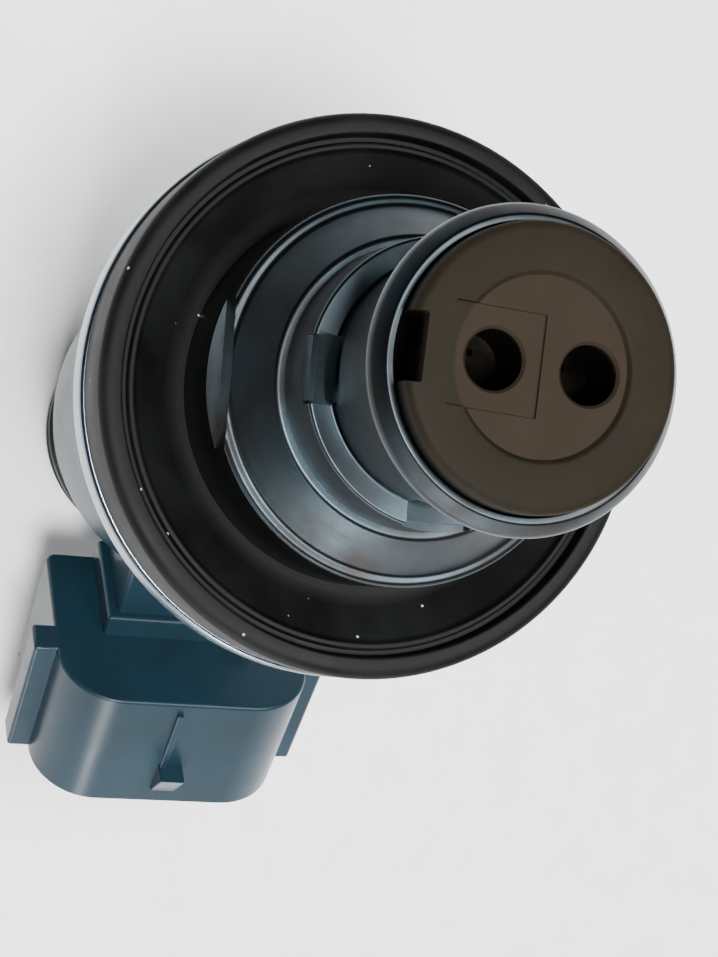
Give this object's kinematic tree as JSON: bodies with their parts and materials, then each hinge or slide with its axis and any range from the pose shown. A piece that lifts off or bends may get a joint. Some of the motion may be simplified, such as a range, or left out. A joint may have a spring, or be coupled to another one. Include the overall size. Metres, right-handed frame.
{
  "type": "fuel injector",
  "caption": "Top-feed petrol injector with a slanted two-way connector, a broad rubber insulator ring and a necked steel tip that ends in a two-hole plastic spray cap.",
  "frame": {"origin": "centre of the inlet end face, on the injector's axis", "axes": "+Z along the injector's axis from the inlet to the nozzle, +X towards the side that the connector leans out on, +Y across the connector's width"},
  "size_m": [0.0369, 0.0272, 0.0664],
  "materials": {
    "plated_steel": "zinc plated, satin",
    "machined_steel": "turned steel, satin",
    "stainless_steel": "ground stainless steel",
    "spring_steel": "drawn spring wire",
    "mesh_steel": "fine woven stainless mesh",
    "pale_plated_steel": "bright zinc plated",
    "tin_plate": "tin plated blade",
    "copper_wire": "enamelled copper",
    "brass": "turned brass",
    "seal_rubber": "smooth black rubber",
    "insulator_rubber": "moulded black rubber",
    "brown_plastic": "brown moulded plastic",
    "filter_plastic": "natural nylon",
    "bobbin_plastic": "black glass-filled nylon",
    "connector_plastic": "blue-grey glass-filled nylon, slightly glossy"
  },
  "bodies": {
    "injector_body": {"fixed_core": "plated_steel", "inlet_o_ring": "seal_rubber", "inlet_grommet": "seal_rubber", "filter_collar": "brass", "filter_frame": "filter_plastic", "filter_mesh": "mesh_steel", "adjusting_tube": "stainless_steel", "return_spring": "spring_steel", "coil_bobbin": "bobbin_plastic", "coil_winding": "copper_wire", "coil_leads": "copper_wire", "yoke_plate": "plated_steel", "coil_seal_inlet": "seal_rubber", "coil_seal_nozzle": "seal_rubber", "barrier_ring": "stainless_steel", "housing": "plated_steel", "nozzle_holder": "machined_steel", "stroke_stop": "stainless_steel", "valve_body": "stainless_steel", "tip_sleeve": "machined_steel", "orifice_plate": "stainless_steel", "two_hole_cap": "brown_plastic", "insulator_ring": "insulator_rubber", "insulator_backing": "pale_plated_steel", "overmold": "connector_plastic", "terminal_left": "tin_plate", "terminal_right": "tin_plate"},
    "needle_assembly": {"armature": "stainless_steel", "needle": "stainless_steel", "needle_ball": "stainless_steel"}
  },
  "joints": [
    {"name": "needle_lift", "type": "slide", "parent": "injector_body", "child": "needle_assembly", "axis": [0, 0, -1], "range_m": [0, 0.0001], "stiffness_N_per_m": 500, "springref_m": -0.003, "deforming": ["return_spring"]}
  ]
}
